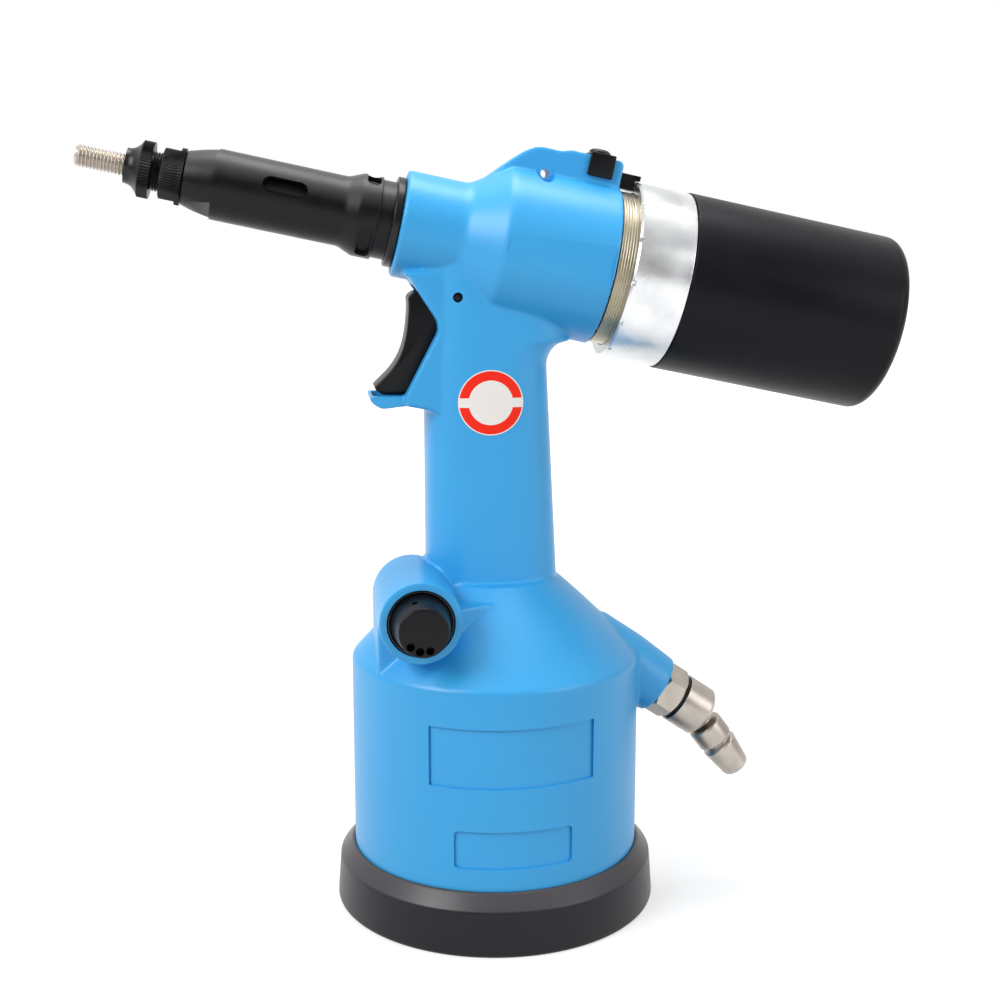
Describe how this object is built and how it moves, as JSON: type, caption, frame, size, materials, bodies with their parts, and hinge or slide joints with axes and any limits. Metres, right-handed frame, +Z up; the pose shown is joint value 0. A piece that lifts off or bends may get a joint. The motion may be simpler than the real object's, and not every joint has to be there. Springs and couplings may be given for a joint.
{
  "type": "pneumatic_rivet_nut_gun",
  "caption": "Pistol-shaped pneumatic-hydraulic rivet-nut gun: wide air-cylinder base, upright grip with trigger, tilted barrel with threaded mandrel nose and adjustable rear motor housing.",
  "frame": {"origin": "Middle of the flat underside of the rubber boot.", "axes": "+Z up along the handle and air cylinder, +X towards the rear motor end, the nose points to -X, and the valve boss opens to -Y."},
  "size_m": [0.3014, 0.1236, 0.2872],
  "materials": {
    "blue_plastic": "moulded, satin",
    "black_rubber": "moulded, satin",
    "black_plastic": "moulded, satin",
    "black_oxide_steel": "black oxide, satin",
    "bright_steel": "machined",
    "thread_steel": "machined, oily olive tone",
    "aluminium": "turned, bright",
    "nickel": "nickel plated",
    "bronze": "machined bronze"
  },
  "bodies": {
    "housing": {"handle_housing": "blue_plastic", "base_boot": "black_rubber", "cylinder_cover": "aluminium", "air_cylinder": "aluminium", "cylinder_head": "aluminium", "ram_seal": "black_rubber", "ram_tube": "bright_steel", "piston_spring": "bright_steel", "trigger_pin": "black_oxide_steel", "pilot_bush": "bronze", "pilot_spring": "bright_steel", "valve_bush": "bronze", "valve_cap": "black_plastic", "cap_seal": "black_rubber", "spool_spring": "bright_steel", "inlet_bushing": "nickel", "inlet_seal": "black_rubber", "nose_sleeve": "black_oxide_steel", "sleeve_lock_ring": "black_oxide_steel", "oil_cylinder": "thread_steel", "cylinder_gland": "bronze", "spring_seat": "bright_steel", "draw_spring": "bright_steel", "latch_spring": "bright_steel"},
    "air_piston_unit": {"air_piston": "aluminium", "piston_seal": "black_rubber", "ram_rod": "bright_steel", "ram_nut": "bright_steel"},
    "draw_unit": {"draw_piston": "bright_steel", "draw_seal": "black_rubber", "puller_head": "black_oxide_steel", "thrust_washer": "bronze"},
    "spindle": {"mandrel": "nickel", "drive_shaft": "bright_steel"},
    "motor_unit": {"gear_case": "bright_steel", "front_plate": "bright_steel", "front_bearing": "bright_steel", "motor_liner": "bright_steel", "rear_plate": "bright_steel", "rear_bearing": "bright_steel", "motor_retainer": "aluminium"},
    "rotor_unit": {"rotor": "bright_steel", "vane_1": "bronze", "vane_2": "bronze", "vane_3": "bronze", "vane_4": "bronze"},
    "output": {"output_spindle": "bright_steel"},
    "adjuster": {"adjust_sleeve": "aluminium", "rear_cover": "black_rubber"},
    "trigger_lever": {"trigger": "black_plastic"},
    "pilot": {"pilot_stem": "bright_steel"},
    "spool": {"valve_spool": "bright_steel"},
    "latch": {"latch_bolt": "black_plastic", "latch_clip": "black_plastic", "latch_screw": "black_oxide_steel"},
    "nose": {"nosepiece": "black_oxide_steel"},
    "nose_nut": {"lock_nut": "black_oxide_steel"},
    "swivel": {"swivel_body": "nickel"},
    "plug": {"air_nipple": "nickel"}
  },
  "joints": [
    {"name": "trigger_pull", "type": "hinge", "parent": "housing", "child": "trigger_lever", "pos_m": [-0.0154, 0, 0.2323], "axis": [0, -1, 0], "range_deg": [0, 6], "stiffness_Nm_per_rad": 1.5, "springref_deg": -8.59},
    {"name": "pilot_push", "type": "slide", "parent": "housing", "child": "pilot", "axis": [1, 0, 0], "range_m": [0, 0.0026], "deforming": ["pilot_spring"]},
    {"name": "spool_shift", "type": "slide", "parent": "housing", "child": "spool", "axis": [0, -1, 0], "range_m": [0, 0.006], "deforming": ["spool_spring"]},
    {"name": "piston_lift", "type": "slide", "parent": "housing", "child": "air_piston_unit", "axis": [0, 0, 1], "range_m": [0, 0.0345], "stiffness_N_per_m": 300, "springref_m": -0.03, "deforming": ["piston_spring"]},
    {"name": "draw_stroke", "type": "slide", "parent": "housing", "child": "draw_unit", "axis": [0.9789, 0, -0.2045], "range_m": [0, 0.007], "deforming": ["draw_spring"]},
    {"name": "mandrel_spin", "type": "hinge", "parent": "draw_unit", "child": "spindle", "pos_m": [-0.07831, 0, 0.26746], "axis": [0.9789, 0, -0.2045], "continuous": true},
    {"name": "adjust_feed", "type": "slide", "parent": "housing", "child": "motor_unit", "axis": [0.9789, 0, -0.2045], "range_m": [0, 0.004]},
    {"name": "adjust_turn", "type": "hinge", "parent": "motor_unit", "child": "adjuster", "pos_m": [0.0555, 0, 0.2395], "axis": [0.9789, 0, -0.2045], "range_deg": [0, 1440]},
    {"name": "rotor_spin", "type": "hinge", "parent": "motor_unit", "child": "rotor_unit", "pos_m": [0.10278, 0, 0.22963], "axis": [0.9789, 0, -0.2045], "continuous": true},
    {"name": "output_spin", "type": "hinge", "parent": "motor_unit", "child": "output", "pos_m": [0.06363, 0, 0.23781], "axis": [0.9789, 0, -0.2045], "continuous": true},
    {"name": "latch_slide", "type": "slide", "parent": "housing", "child": "latch", "axis": [-0.9789, 0, 0.2045], "range_m": [0, 0.005], "stiffness_N_per_m": 400, "springref_m": -0.004, "deforming": ["latch_spring"]},
    {"name": "nosepiece_turn", "type": "hinge", "parent": "housing", "child": "nose", "pos_m": [-0.11746, 0, 0.27564], "axis": [0.9789, 0, -0.2045], "continuous": true},
    {"name": "lock_nut_turn", "type": "hinge", "parent": "housing", "child": "nose_nut", "pos_m": [-0.11404, 0, 0.27492], "axis": [0.9789, 0, -0.2045], "continuous": true},
    {"name": "swivel_turn", "type": "hinge", "parent": "housing", "child": "swivel", "pos_m": [0.07765, 0, 0.07103], "axis": [0.8271, 0, -0.5621], "continuous": true},
    {"name": "nipple_tilt", "type": "hinge", "parent": "swivel", "child": "plug", "pos_m": [0.07765, 0, 0.07103], "axis": [0, 1, 0], "range_deg": [-37.6, 0]}
  ],
  "couplings": [
    {"joint": "pilot_push", "follows": "trigger_pull", "m_per_rad": 0.0243},
    {"joint": "spool_shift", "follows": "trigger_pull", "m_per_rad": 0.0573},
    {"joint": "draw_stroke", "follows": "piston_lift", "ratio": 0.2028},
    {"joint": "mandrel_spin", "follows": "rotor_spin", "ratio": 0.25},
    {"joint": "output_spin", "follows": "rotor_spin", "ratio": 0.25},
    {"joint": "adjust_feed", "follows": "adjust_turn", "m_per_rad": 0.00015915}
  ]
}
